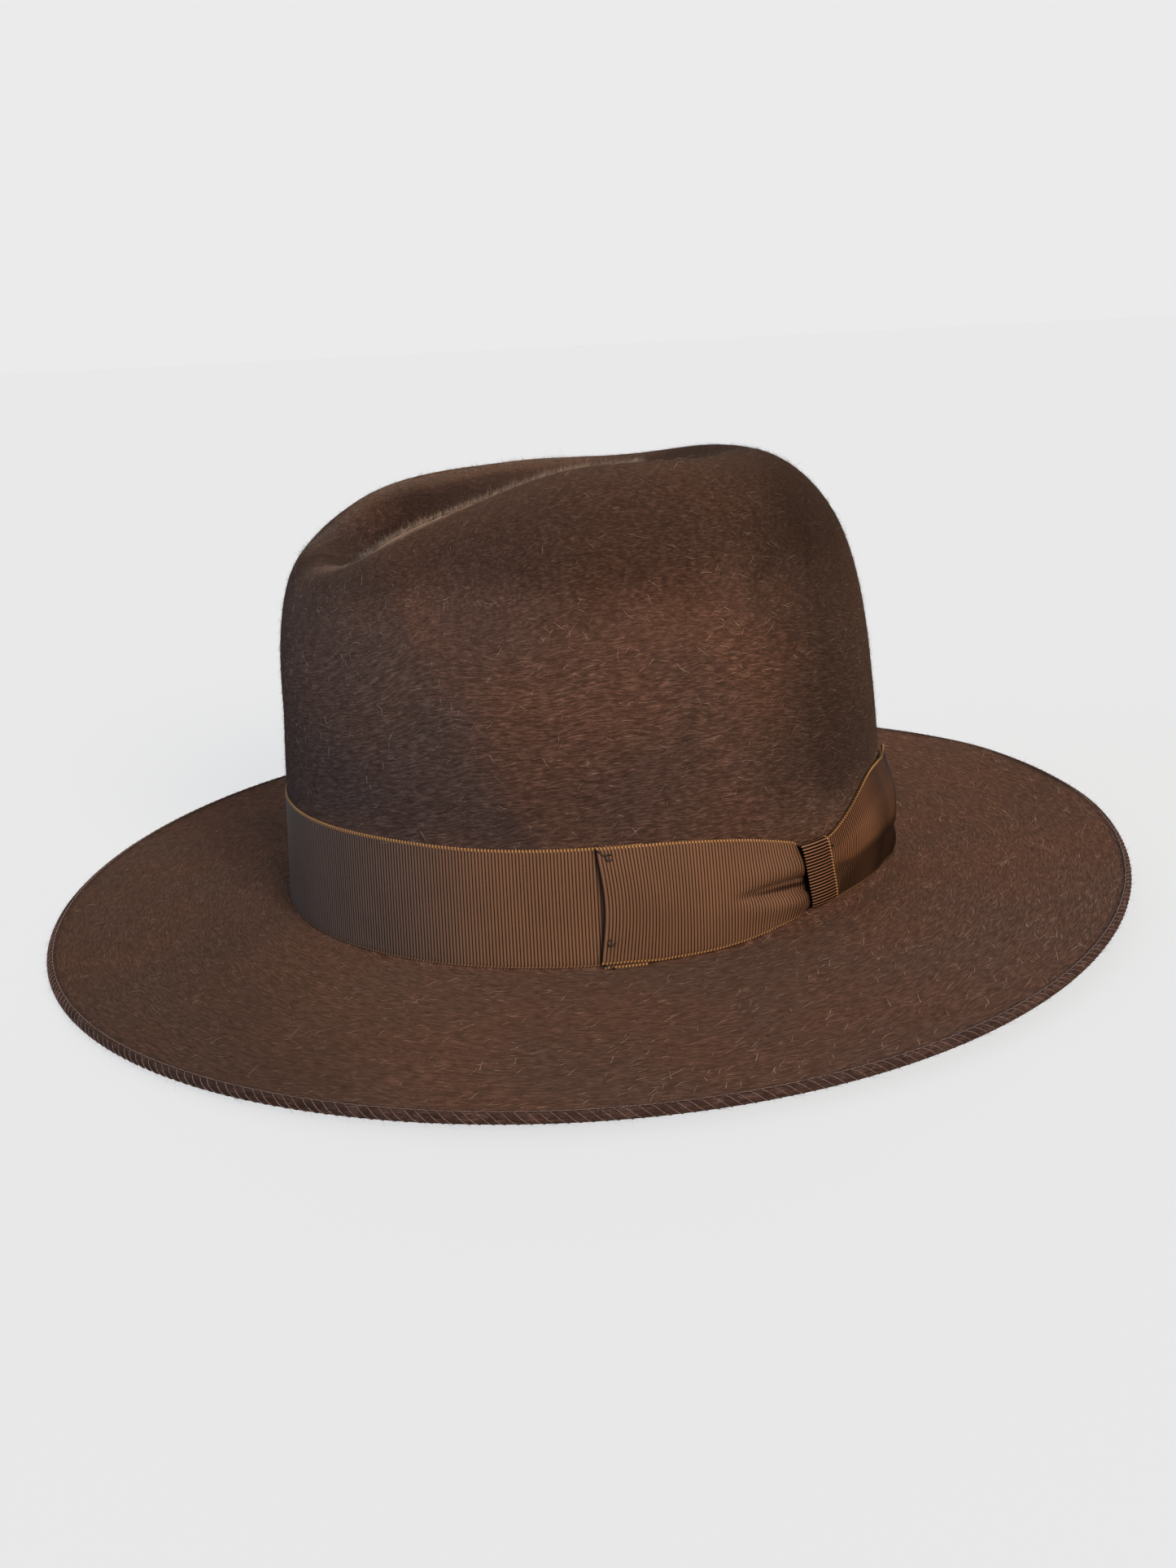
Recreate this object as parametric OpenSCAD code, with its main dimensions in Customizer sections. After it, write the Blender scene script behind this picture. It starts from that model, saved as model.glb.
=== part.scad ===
// Felt fedora hat: centre crease, front pinch, snap brim, grosgrain band with a side bow.
// The front of the hat faces -Y, the wearer's left side (the bow) is +X, and z = 0 is the
// surface that the hat stands on. Angles go round the head from the front (0) over the left
// side (90) to the back (180).

/* [Head opening] */
// Length of the opening inside the sweatband, front to back
opening_l = 199.6; // [185:0.2:214]
// Width of the opening inside the sweatband
opening_w = 168.4; // [156:0.2:182]

/* [Felt body] */
// Thickness of the felt
felt_t = 2.4; // [2:0.1:3]
// Height of the crown over the head, before its crease
crown_h = 144.4; // [125:0.1:150]
// Brim width at the two sides
brim_side = 80.1; // [60:0.1:90]
// Brim width at the front and the back
brim_end = 77; // [60:0.1:90]
// Radius of the rolled rim
rim_r = 1.45; // [1.3:0.05:1.8]

/* [Crown shape] */
// How much of its width the crown loses towards the top
taper_side = 0.096; // [0.05:0.001:0.2]
// How much of its length the crown loses at the front
taper_front = 0.067; // [0:0.001:0.15]
// How much of its length the crown loses at the back
taper_back = 0.091; // [0:0.001:0.2]
// Depth of the crease towards the front
crease_front = 26; // [8:0.5:28]
// Depth of the crease towards the back
crease_back = 16; // [0:0.5:18]
// Half width of the crease at its back end
crease_w = 44; // [24:0.5:46]
// Depth of the two pinches beside the front
pinch = 8.6; // [0:0.1:12]

/* [Band and bow] */
// Width of the grosgrain ribbon
ribbon_w = 36; // [30:0.5:40]
// Thickness of the ribbon
ribbon_t = 0.4; // [0.3:0.05:0.4]
// Angle of the bow's folded front end
bow_from = 77; // [70:1:90]
// Angle of the bow's knot
bow_knot_at = 117; // [112:0.1:122]
// Angle of the bow's folded back end
bow_to = 158; // [150:1:165]

/* [Inside] */
// Height of the leather sweatband
sweatband_h = 48; // [40:1:52]
// Thickness of the leather
leather_t = 1; // [0.7:0.05:1]
// Height of the lining's top above the foot of the crown
lining_h = 98; // [90:1:100]

/* [Hidden] */
around = 80;          // points round the head on every swept solid
step = 360 / around;
angles = [for (i = [0:around - 1]) i * step];
liner_gap = 0.3;      // room between the felt and what lies against it
lining_t = 0.3;
foot_ax = opening_w / 2 + leather_t + liner_gap + felt_t;
foot_ay = opening_l / 2 + leather_t + liner_gap + felt_t;
break_drop = 0.5;     // the brim's top lies this far under the lower edge of the band
fillet = 2;           // size of the bend between brim and crown
foot_tilt = 1.2;      // the foot of the crown is this much higher at the front, lower at the back
brow_lift = 7.6;      // the crown rises towards the back
brow_round = 15.6;    // and drops towards both ends
brow_dome = 3.1;      // with a slight swelling above the pinches
round_front = 7.1;    // exponents of the crown's shoulder: 2 is an ellipse, more is squarer
round_back = 4.7;
round_side = 4.25;
crease_from = -96.4;  // the crease starts here, and is at full depth 30 mm further back
crease_end = 42;      // and has run out here
crease_narrow = 0.64; // width of the crease at the front, as a share of crease_w
crease_shape = 2.2;   // exponent of its profile: 2 is a bell, more has a flatter floor
lean_front = -0.12;   // the dents were made by hand: the left ridge is lower at the front
lean_back = 0.05;     // and higher further back
pinch_y = -63.5;      // middle of the pinches
pinch_l = 18;
pinch_z = 74;
// Height of the brim's edge: mean, and its 1st, 2nd and 3rd wave round the hat
edge_wave = [1, -3.8, 0.95, -1.15];
foot_z = rim_r - (edge_wave[0] + edge_wave[1] + edge_wave[2] + edge_wave[3]);

felt_brown = "#3b2822";
ribbon_brown = "#5f4536";
leather_brown = "#7a4a2c";
satin = "#6d5a48";

function mix(a, b, t) = a + (b - a) * t;
function smooth(t) = let (u = min(1, max(0, t))) u * u * (3 - 2 * u);
function backness(a) = smooth((1 - cos(a)) / 2);
function foot(a) = foot_tilt * cos(a);
function shoulder(a) =
    mix(mix(round_front, round_back, backness(a)), round_side, pow(sin(a), 2));

// A point of the crown: a goes round the head, r is the share of the foot's radius that is
// left, h the share of the full height, and inset moves the surface inwards.
function crown_at(a, r, h, inset) =
    let (end_taper = mix(taper_front, taper_back, backness(a)),
         x = (foot_ax - inset) * (1 - taper_side * h) * r * sin(a),
         y = -(foot_ay - inset) * (1 - end_taper * h) * r * cos(a),
         q = y / foot_ay,
         top = crown_h - inset + brow_lift * q - brow_round * q * q + brow_dome * exp(-pow((y + 80) / 20, 2)),
         along = smooth((y + 100) / 180),
         depth = smooth((y - crease_from) / 30) * mix(crease_front, crease_back, along)
                 / (1 + exp((y - crease_end) / 9)),
         width = crease_w * mix(crease_narrow, 1, along),
         fade = pow(min(1, max(0, (h - 0.3) / 0.5)), 2),
         lean = mix(lean_front, lean_back, smooth((y + 80) / 70)),
         z = top * h + foot(a) * (1 - h) - fade * (depth * exp(-pow(abs(x) / width, crease_shape)) - lean * x),
         squeeze = pinch * exp(-pow((y - pinch_y) / pinch_l, 2)) * smooth((z - pinch_z + 35) / 70))
    [x - sign(x) * squeeze * smooth(abs(x) / 40), y, z + foot_z];

// The same point with the way over the crown as an angle: 0 at the foot, 90 at the middle.
function crown(a, over, inset = 0) =
    let (n = shoulder(a), k = pow(pow(cos(over), n) + pow(sin(over), n), 1 / n))
    crown_at(a, cos(over) / k, sin(over) / k, inset);

// A point on the crown's wall at height z above its foot, out from the felt's outer face.
function wall(a, z, out) =
    let (h = max(0, z) / (crown_h - brow_lift * cos(a) - brow_round * pow(cos(a), 2)),
         n = shoulder(a),
         p = crown_at(a, pow(1 - pow(h, n), 1 / n), h, -out))
    [p.x, p.y, p.z + min(0, z)];

function edge_z(a) = foot_z + edge_wave[0] + edge_wave[1] * cos(a)
    + edge_wave[2] * cos(2 * a) + edge_wave[3] * cos(3 * a);
// A point on the rolled rim, turned by around_rim from straight out
function rim(a, around_rim, r) =
    let (reach = r * cos(around_rim) - rim_r)
    [(foot_ax + brim_side + reach) * sin(a), -(foot_ay + brim_end + reach) * cos(a),
     edge_z(a) + r * sin(around_rim)];
// The brim between its bend (s = 0) and the rim (s = 1); below lowers it to the underside
function brim(a, s, below = 0) =
    let (near = fillet, wide_x = brim_side - 1.5 * rim_r, wide_y = brim_end - 1.5 * rim_r)
    [(foot_ax + mix(near, wide_x, s)) * sin(a), -(foot_ay + mix(near, wide_y, s)) * cos(a),
     mix(foot_z + foot(a) - break_drop, edge_z(a) + felt_t / 2, pow(s, 1.4)) - below];
// Half way round the bend between the brim and the crown
function bend(a, inset, below) =
    let (p = brim(a, 0, below), q = crown(a, 0.5, inset),
         c = [q.x, q.y, p.z])
    p / 4 + c / 2 + q / 4;

// A closed shell: rings of points from one pole to the other
module shell(rings, pole_a, pole_b) {
    n = len(rings[0]);
    m = len(rings);
    polyhedron(
        points = concat([for (ring = rings) each ring], [pole_a, pole_b]),
        faces = concat(
            [for (k = [0:n - 1]) [m * n, (k + 1) % n, k]],
            [for (i = [0:m - 2], k = [0:n - 1]) each quad(i * n, (i + 1) * n, k, n)],
            [for (k = [0:n - 1]) [(m - 1) * n + k, (m - 1) * n + (k + 1) % n, m * n + 1]]),
        convexity = 6);
}
function quad(i, j, k, n) =
    let (l = (k + 1) % n) [[i + k, i + l, j + l], [i + k, j + l, j + k]];

// A closed hoop: rings of points that close on the first ring again
module hoop(rings) {
    n = len(rings[0]);
    m = len(rings);
    polyhedron(
        points = [for (ring = rings) each ring],
        faces = [for (i = [0:m - 1], k = [0:n - 1]) each quad(i * n, ((i + 1) % m) * n, k, n)],
        convexity = 6);
}
// A strip with two ends: sections of points, each a convex loop
module strip(sections) {
    n = len(sections[0]);
    m = len(sections);
    polyhedron(
        points = [for (section = sections) each section],
        faces = concat(
            [for (j = [1:n - 2]) [0, j, j + 1]],
            [for (i = [0:m - 2], j = [0:n - 1]) let (l = (j + 1) % n, u = i * n, v = u + n)
                each [[u + j, v + j, v + l], [u + j, v + l, u + l]]],
            [for (j = [1:n - 2]) [(m - 1) * n, (m - 1) * n + j + 1, (m - 1) * n + j]]),
        convexity = 6);
}
// A hoop whose section is a list of [height, out] points on the crown's wall
module wall_hoop(section) {
    hoop([for (p = section) [for (a = angles) wall(a, p[0], p[1])]]);
}
// A round rod from p to q
module rod(p, q, r) {
    v = q - p;
    translate(p) rotate([0, acos(v.z / norm(v)), atan2(v.y, v.x)]) cylinder(h = norm(v), r = r, $fn = 16);
}

// Crown and brim, one piece of fur felt
module felt_body() {
    over_out = [for (f = [87.5:-3.5:3.5]) f];
    over_in = [for (f = [4:4.2:88]) f];
    brim_steps = [0, 0.15, 0.35, 0.6, 0.8, 1];
    rings = concat(
        [for (f = over_out) [for (a = angles) crown(a, f)]],
        [[for (a = angles) crown(a, 0.5)], [for (a = angles) bend(a, 0, 0)]],
        [for (s = brim_steps) [for (a = angles) brim(a, s)]],
        [for (b = [75, 35, 0, -35, -75]) [for (a = angles) rim(a, b, rim_r)]],
        [for (i = [5:-1:0]) [for (a = angles) brim(a, brim_steps[i], felt_t)]],
        [[for (a = angles) bend(a, felt_t, felt_t)], [for (a = angles) crown(a, 0.7, felt_t)]],
        [for (f = over_in) [for (a = angles) crown(a, f, felt_t)]]);
    color(felt_brown) shell(rings, crown(0, 90), crown(0, 90, felt_t));
}
// Thread of the overcast stitch, where it runs round the top of the rim
module brim_edge_thread() {
    thread_r = 0.3;
    sit = rim_r + thread_r + 0.12;
    color("#6b4a40") hoop([for (b = [0:60:300]) [for (a = angles)
        let (c = rim(a, 62, sit)) [c.x + thread_r * cos(b) * sin(a), c.y - thread_r * cos(b) * cos(a),
                                   c.z - thread_r * sin(b)]]]);
}
// Grosgrain ribbon round the crown; its ends lap under the bow
module hat_band() {
    start = bow_to - 8;
    end = bow_from + 7.5 + 360;
    low = 0.9;
    color(ribbon_brown) strip([for (i = [0:73]) let (a = mix(start, end, i / 73))
        [wall(a, ribbon_w, 0.1 + ribbon_t), wall(a, low, 0.1 + ribbon_t), wall(a, low, 0.1),
         wall(a, ribbon_w, 0.1)]]);
}
knot_half = 3.2;      // half of the angle that the knot covers
knot_low = 6.2;
knot_high = 26.4;
waist_low = knot_low + 2.2;
waist_high = knot_high - 2.2;
// Edges of the bow at angle a, before it narrows into the knot
function front_u(a) = max(0, (a - bow_from - 1) / (bow_knot_at - bow_from - 3));
function bow_high(a) = a < bow_knot_at ? ribbon_w - 10 * pow(front_u(a), 2.4)
    : 25.6 + 12.6 * smooth((a - bow_knot_at - 2.5) / 22);
function bow_low(a) = a < bow_knot_at ? 0.6 + 4.8 * pow(max(0, (a - 92) / 24), 2)
    : mix(5.2, 2, pow(max(0, a - bow_knot_at - 2) / 39, 1.6));
// How far into the knot's waist the bow has narrowed at angle a
function waist(a) = smooth((7 - abs(a - bow_knot_at)) / 3.4);
function neck_high(a) = mix(bow_high(a), waist_high, waist(a));
function neck_low(a) = mix(bow_low(a), waist_low, waist(a));
// Backing of the bow: it covers the band's two ends and lies on the felt between them
module bow_base() {
    on_band = 0.2 + ribbon_t + 0.05;
    color(ribbon_brown) strip([for (i = [0:32])
        let (a = mix(bow_from + 0.4, bow_to - 3, i / 32),
             inner = on_band - 0.4 * smooth((a - bow_from - 8.5) / 4) * smooth((bow_to - 9 - a) / 4),
             outer = inner + 0.3,
             high = min(ribbon_w, neck_high(a)) - 0.8,
             low = mix(0.2, neck_low(a) + 0.6, smooth((a - bow_from - 7) / 2)))
        [wall(a, high, outer), wall(a, low, outer), wall(a, low, inner), wall(a, high, inner)]]);
}
loop_in = 1.45;       // inner face of the bow's loops, out from the felt
// One section of a folded loop, from height low to high, thick at its middle
function loop_section(a, low, high, thick) = [
    wall(a, high, loop_in + thick * 0.3), wall(a, mix(low, high, 0.75), loop_in + thick * 0.9),
    wall(a, mix(low, high, 0.5), loop_in + thick), wall(a, mix(low, high, 0.25), loop_in + thick * 0.9),
    wall(a, low, loop_in + thick * 0.3), wall(a, low, loop_in), wall(a, high, loop_in)];

module bow_front_loop() {
    color(ribbon_brown) strip([for (i = [0:18]) let (a = mix(bow_from, bow_knot_at - 0.1, i / 18))
        loop_section(a, neck_low(a), neck_high(a), mix(1.2, 2.4, waist(a)))]);
}
module bow_rear_loop() {
    color(ribbon_brown) strip([for (i = [0:18]) let (a = mix(bow_knot_at + 0.1, bow_to, i / 18))
        loop_section(a, neck_low(a), neck_high(a), mix(1.6 + 1.6 * smooth((a - 126) / 26), 2.4, waist(a)))]);
}
// Ribbon wrapped round the waist of the bow
module bow_knot() {
    mid = (knot_low + knot_high) / 2;
    tall = (knot_high - knot_low) / 2;
    // [height, out] round the waist, thickened by t, on a rounded rectangle
    function turn(b, t) =
        [mid + (tall - t) * sign(cos(b)) * pow(abs(cos(b)), 0.35),
         2.8 + (1.85 - t) * sign(sin(b)) * pow(abs(sin(b)), 0.6)];
    skin = ribbon_t;
    lean = 0.95;      // the knot's top leans to the front by this angle
    // Each ring runs once round the waist; the four rings are the corners of the ribbon's section
    turns = [for (b = [0:22.5:337.5]) b];
    function corner(a, t) = [for (b = turns) let (p = turn(b, t))
        wall(a - lean * (p[0] - mid) / tall, p[0], p[1])];
    left = bow_knot_at - knot_half;
    right = bow_knot_at + knot_half;
    color(ribbon_brown) hoop([corner(left, skin), corner(left, 0), corner(right, 0), corner(right, skin)]);
}
// Hand stitches that hold the bow
module bow_tacks() {
    tack_r = 0.25;
    spots = [[bow_from + 1.5, 32, 2.9], [bow_from + 1, 9, 2.9], [bow_knot_at - 1.6, 24.6, 4.95],
             [bow_knot_at + 1.2, 7.8, 4.95]];
    color("#241714") for (s = spots) rod(wall(s[0], s[1], s[2]), wall(s[0] + 0.5, s[1] - 1.6, s[2]), tack_r);
}
back_of_felt = -(felt_t + liner_gap);          // inner face of the felt, less the gap
lining_room = lining_t + 0.35;                 // the sweatband's top stands off by the lining
// Leather band inside the foot of the crown
module sweatband() {
    low = 2.9;
    outer = back_of_felt;
    color(leather_brown) wall_hoop([
        [sweatband_h, outer - lining_room], [26, outer - lining_room], [16, outer], [low, outer],
        [low, outer - leather_t], [16, outer - leather_t], [26, outer - lining_room - leather_t],
        [sweatband_h, outer - lining_room - leather_t]]);
}
reed_r = 0.8;
reed_at = [1.7, back_of_felt - 0.95];          // height and out of the reed's middle
// Plastic reed that stiffens the sweatband's lower edge
module sweatband_reed() {
    color("#2b2522") wall_hoop([for (b = [0:60:300])
        [reed_at[0] - reed_r * sin(b), reed_at[1] + reed_r * cos(b)]]);
}
// Woven tape folded round the reed, open towards the felt
module reed_tape() {
    outer = 1.1;
    inner = 0.9;
    bends = [140, 70, 0, -70, -140];
    color("#4a382e") wall_hoop(concat(
        [for (b = bends) [reed_at[0] + inner * sin(b), reed_at[1] - inner * cos(b)]],
        [for (i = [4:-1:0]) [reed_at[0] + outer * sin(bends[i]), reed_at[1] - outer * cos(bends[i])]]));
}
// Row of stitches through the leather, the tape and the felt
module sweatband_stitches() {
    count = 120;
    size = [2.4, 0.3, 0.3];
    color("#33231b") for (i = [0:count - 1])
        let (a = i * 360 / count, p = wall(a, 5, back_of_felt - leather_t - 0.25), q = wall(a + 0.5, 5, 0),
             o = wall(a, 5, 0))
        translate(p) rotate([0, 0, atan2(q.y - o.y, q.x - o.x)]) cube(size, center = true);
}
// Zigzag thread that closes the leather at the back
module sweatband_back_seam() {
    pitch = 3.6;
    half = 0.7;
    out = back_of_felt - leather_t - 0.3;
    color("#33231b") for (i = [0:9])
        let (z = 7 + i * pitch, off = z > 16 ? out - lining_room : out,
             s = i % 2 == 0 ? 1 : -1)
        rod(wall(180 - s * half, z, off), wall(180 + s * half, z + pitch * 0.8, off), 0.15);
}
// Small ribbon bow at the back of the sweatband
module sweatband_bow() {
    at = wall(180, sweatband_h - 6, back_of_felt - lining_room - leather_t - 0.5);
    ribbon = 0.5;
    // One loop is a drop with its point in the knot
    drop = [for (b = [0:15:345]) [7 * (1 + cos(b)) / 2 * 1.3, 3.2 * sin(b) * (1 + cos(b)) / 1.6]];
    color(ribbon_brown) translate(at) rotate([86, 0, 0]) {
        for (side = [0, 1]) mirror([side, 0, 0]) linear_extrude(ribbon) polygon(drop);
        translate([-1.6, -1.9, 0]) cube([3.2, 3.8, 1.1]);
    }
}
lining_in = back_of_felt - 0.9;                // the lining hangs a little off the felt above the band
// Satin wall of the lining
module lining_side() {
    rows = [[18, back_of_felt], [30, back_of_felt], [44, back_of_felt], [54, lining_in], [68, lining_in],
            [82, lining_in], [lining_h - 1.4, lining_in]];
    n = len(rows);
    color(satin) wall_hoop(concat(
        [for (i = [n - 1:-1:0]) rows[i]],
        [for (i = [0:n - 1]) [rows[i][0], rows[i][1] - lining_t]]));
}
// The lining's top: an oval disc, slightly domed
module lining_tip() {
    shares = [0.12, 0.35, 0.6, 0.8, 1];
    function tip(a, s, down) =
        let (p = wall(a, lining_h, lining_in - 0.2), rise = 3 * (1 - s * s))
        [p.x * s, p.y * s, foot_z + lining_h + rise - down];
    color(satin) shell(concat(
        [for (s = shares) [for (a = angles) tip(a, s, 0)]],
        [for (i = [4:-1:0]) [for (a = angles) tip(a, shares[i], lining_t)]]),
        [0, 0, foot_z + lining_h + 3], [0, 0, foot_z + lining_h + 3 - lining_t]);
}
// Cord in the seam between the lining's wall and its top
module lining_piping() {
    cord_r = 0.6;
    color(satin) wall_hoop([for (b = [0:60:300])
        [lining_h - 1.2 + 0.4 - cord_r - cord_r * sin(b), lining_in - lining_t - 0.8 + cord_r * cos(b)]]);
}

felt_body();
brim_edge_thread();
hat_band();
bow_base();
bow_front_loop();
bow_rear_loop();
bow_knot();
bow_tacks();
sweatband();
sweatband_reed();
reed_tape();
sweatband_stitches();
sweatband_back_seam();
sweatband_bow();
lining_side();
lining_tip();
lining_piping();
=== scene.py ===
"""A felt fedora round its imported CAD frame: long-nap fur felt, grosgrain band and bow, leather and satin inside.

Lengths in the shape functions are millimetres and angles are degrees: 0 is the front of the hat, 90 the wearer's
left side, which carries the bow, and 180 the back. Meshes are made in metres, in the frame's own axes.
"""
import math

import bpy
import numpy as np
from mathutils import Matrix, Vector


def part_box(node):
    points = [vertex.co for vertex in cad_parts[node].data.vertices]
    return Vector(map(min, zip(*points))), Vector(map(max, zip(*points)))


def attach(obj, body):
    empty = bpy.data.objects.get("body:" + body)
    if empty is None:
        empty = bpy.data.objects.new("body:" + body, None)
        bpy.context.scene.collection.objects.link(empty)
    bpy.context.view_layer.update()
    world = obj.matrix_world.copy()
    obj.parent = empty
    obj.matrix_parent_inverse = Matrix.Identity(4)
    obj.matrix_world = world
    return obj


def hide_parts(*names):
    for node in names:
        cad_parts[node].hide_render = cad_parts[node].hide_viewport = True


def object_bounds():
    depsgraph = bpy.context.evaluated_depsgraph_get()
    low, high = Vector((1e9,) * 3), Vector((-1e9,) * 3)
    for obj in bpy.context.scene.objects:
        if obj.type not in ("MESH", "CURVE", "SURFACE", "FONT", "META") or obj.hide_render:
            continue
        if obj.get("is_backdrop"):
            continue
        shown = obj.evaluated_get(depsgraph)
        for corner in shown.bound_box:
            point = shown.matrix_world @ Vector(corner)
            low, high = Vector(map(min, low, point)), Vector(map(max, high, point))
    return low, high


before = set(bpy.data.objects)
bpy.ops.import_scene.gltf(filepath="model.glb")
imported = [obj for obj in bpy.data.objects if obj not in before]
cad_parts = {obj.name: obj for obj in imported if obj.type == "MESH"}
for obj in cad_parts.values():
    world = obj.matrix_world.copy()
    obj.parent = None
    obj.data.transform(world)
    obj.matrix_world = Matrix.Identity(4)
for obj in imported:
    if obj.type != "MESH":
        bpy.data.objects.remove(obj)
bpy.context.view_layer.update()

MM = 0.001
rng = np.random.default_rng(7)

# -------------------- the hat's sizes, as in its CAD source
FELT_T = 2.4
BRIM_SIDE, BRIM_END = 80.1, 77.0
RIM_R = 1.45
felt_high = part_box("felt_body")[1]
FOOT_AX = felt_high[0] / MM - BRIM_SIDE
FOOT_AY = felt_high[1] / MM - BRIM_END
CROWN_H = 144.4
TAPER_SIDE, TAPER_FRONT, TAPER_BACK = 0.096, 0.067, 0.091
CREASE_FRONT, CREASE_BACK, CREASE_W, CREASE_SHAPE = 26.0, 16.0, 44.0, 2.2
CREASE_FROM, CREASE_END, CREASE_NARROW = -96.4, 42.0, 0.64
LEAN_FRONT, LEAN_BACK = -0.12, 0.05
PINCH, PINCH_Y, PINCH_L, PINCH_Z = 8.6, -63.5, 18.0, 74.0
ROUND_FRONT, ROUND_BACK, ROUND_SIDE = 7.1, 4.7, 4.25
BROW_LIFT, BROW_ROUND, BROW_DOME = 7.6, 15.6, 3.1
FOOT_TILT, BREAK_DROP, FILLET = 1.2, 0.5, 2.0
EDGE_WAVE = (1.0, -3.8, 0.95, -1.15)
FOOT_Z = RIM_R - sum(EDGE_WAVE)
RIBBON_W, RIBBON_T = 36.0, 0.4
BOW_FROM, KNOT_AT, BOW_TO = 77.0, 117.0, 158.0
SWEAT_H, LEATHER_T, LINING_H = 48.0, 1.0, 98.0
BACK_OF_FELT = -(FELT_T + 0.3)  # how far out from the felt's outer face the leather's back lies
LINING_ROOM = 0.65  # the leather leaves this much for the lining behind it
LEATHER_FACE = BACK_OF_FELT - LEATHER_T
LINING_IN = BACK_OF_FELT - 0.9
SEAM_Z = LINING_H - 1.4  # height of the lining's seam
RIB = 1.0  # pitch of the grosgrain's ribs
SELVEDGE = 0.75  # width of its braided edges
KNOT_W, KNOT_OUT, SMALL_W = 11.0, 2.75, 6.4
LOOP_T, LOOP_LAY, LOOP_LOWEST = 0.32, 1.62, 1.55  # thickness, and how far out the upper layer lies, flat and at least
TIP_T = 0.28
RIDGE_BOW = 0.0035  # per mm, how the ridges beside the crease draw together away from the middle


def mix(a, b, t):
    return a + (b - a) * t


def smooth(t):
    u = np.clip(t, 0, 1)
    return u * u * (3 - 2 * u)


def bump(t, middle, width):
    return np.exp(-(((t - middle) / width) ** 2))


def sin(a):
    return np.sin(np.radians(a))


def cos(a):
    return np.cos(np.radians(a))


def unit(v):
    return v / np.maximum(np.linalg.norm(v, axis=-1, keepdims=True), 1e-9)


def lengths(path):
    """Distance along a path of points to each of them."""
    return np.concatenate([[0], np.cumsum(np.linalg.norm(np.diff(path, axis=0), axis=-1))])


def backness(a):
    return smooth((1 - cos(a)) / 2)


def shoulder(a):
    return mix(mix(ROUND_FRONT, ROUND_BACK, backness(a)), ROUND_SIDE, sin(a) ** 2)


def crown_at(a, r, h, inset):
    """A point of the crown: r is the share of the foot's radius that is left, h the share of the height."""
    x = (FOOT_AX - inset) * (1 - TAPER_SIDE * h) * r * sin(a)
    y = -(FOOT_AY - inset) * (1 - mix(TAPER_FRONT, TAPER_BACK, backness(a)) * h) * r * cos(a)
    q = y / FOOT_AY
    top = CROWN_H - inset + BROW_LIFT * q - BROW_ROUND * q * q + BROW_DOME * bump(y, -80, 20)
    along = smooth((y + 100) / 180)
    depth = smooth((y - CREASE_FROM) / 30) * mix(CREASE_FRONT, CREASE_BACK, along)
    depth = depth / (1 + np.exp((y - CREASE_END) / 9))
    width = CREASE_W * mix(CREASE_NARROW, 1, along)
    fade = np.clip((h - 0.3) / 0.5, 0, 1) ** 2
    lean = mix(LEAN_FRONT, LEAN_BACK, smooth((y + 80) / 70))
    z = top * h + FOOT_TILT * cos(a) * (1 - h)
    z = z - fade * (depth * np.exp(-((np.abs(x) / width) ** CREASE_SHAPE)) - lean * x)
    squeeze = PINCH * bump(y, PINCH_Y, PINCH_L) * smooth((z - PINCH_Z + 35) / 70)
    x = x - np.sign(x) * squeeze * smooth(np.abs(x) / 40)
    return np.stack([x, y, z + FOOT_Z], -1)


def crown(a, over, inset=0.0):
    """The crown with the way over it as an angle: 0 at the foot, 90 at the middle of the top."""
    a, over = np.broadcast_arrays(np.asarray(a, float), np.asarray(over, float))
    n = shoulder(a)
    k = (np.abs(cos(over)) ** n + sin(over) ** n) ** (1 / n)
    return crown_at(a, cos(over) / k, sin(over) / k, inset)


def wall(a, z, out):
    """A point on the crown's wall at height z above its foot, out from the felt's outer face."""
    a, z, out = np.broadcast_arrays(*(np.asarray(v, float) for v in (a, z, out)))
    n = shoulder(a)
    h = np.maximum(z, 0) / (CROWN_H - BROW_LIFT * cos(a) - BROW_ROUND * cos(a) ** 2)
    p = crown_at(a, (1 - h**n) ** (1 / n), h, -out)
    p[..., 2] += np.minimum(z, 0)
    return p


def edge_z(a):
    return FOOT_Z + sum(w * cos(k * a) for k, w in enumerate(EDGE_WAVE))


def rim(a, turn, r):
    """A point round the rolled rim, turned from straight out."""
    a, turn = np.broadcast_arrays(np.asarray(a, float), np.asarray(turn, float))
    reach = r * cos(turn) - RIM_R
    x, y = (FOOT_AX + BRIM_SIDE + reach) * sin(a), -(FOOT_AY + BRIM_END + reach) * cos(a)
    return np.stack([x, y, edge_z(a) + r * sin(turn)], -1)


def brim(a, s, below=0.0):
    """The brim from its bend (s = 0) to the rim (s = 1); below lowers it to the underside."""
    a, s = np.broadcast_arrays(np.asarray(a, float), np.asarray(s, float))
    x = (FOOT_AX + mix(FILLET, BRIM_SIDE - 1.5 * RIM_R, s)) * sin(a)
    y = -(FOOT_AY + mix(FILLET, BRIM_END - 1.5 * RIM_R, s)) * cos(a)
    z = mix(FOOT_Z + FOOT_TILT * cos(a) - BREAK_DROP, edge_z(a) + FELT_T / 2, s**1.4) - below
    return np.stack([x, y, z], -1)


def bend(a, t, inset, below):
    """The bend between brim (t = 0) and crown (t = 1)."""
    p, q = brim(a, 0.0, below), crown(a, 0.5, inset)
    corner = np.stack([q[..., 0], q[..., 1], p[..., 2]], -1)
    return p * (1 - t) ** 2 + corner * 2 * t * (1 - t) + q * t**2


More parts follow.
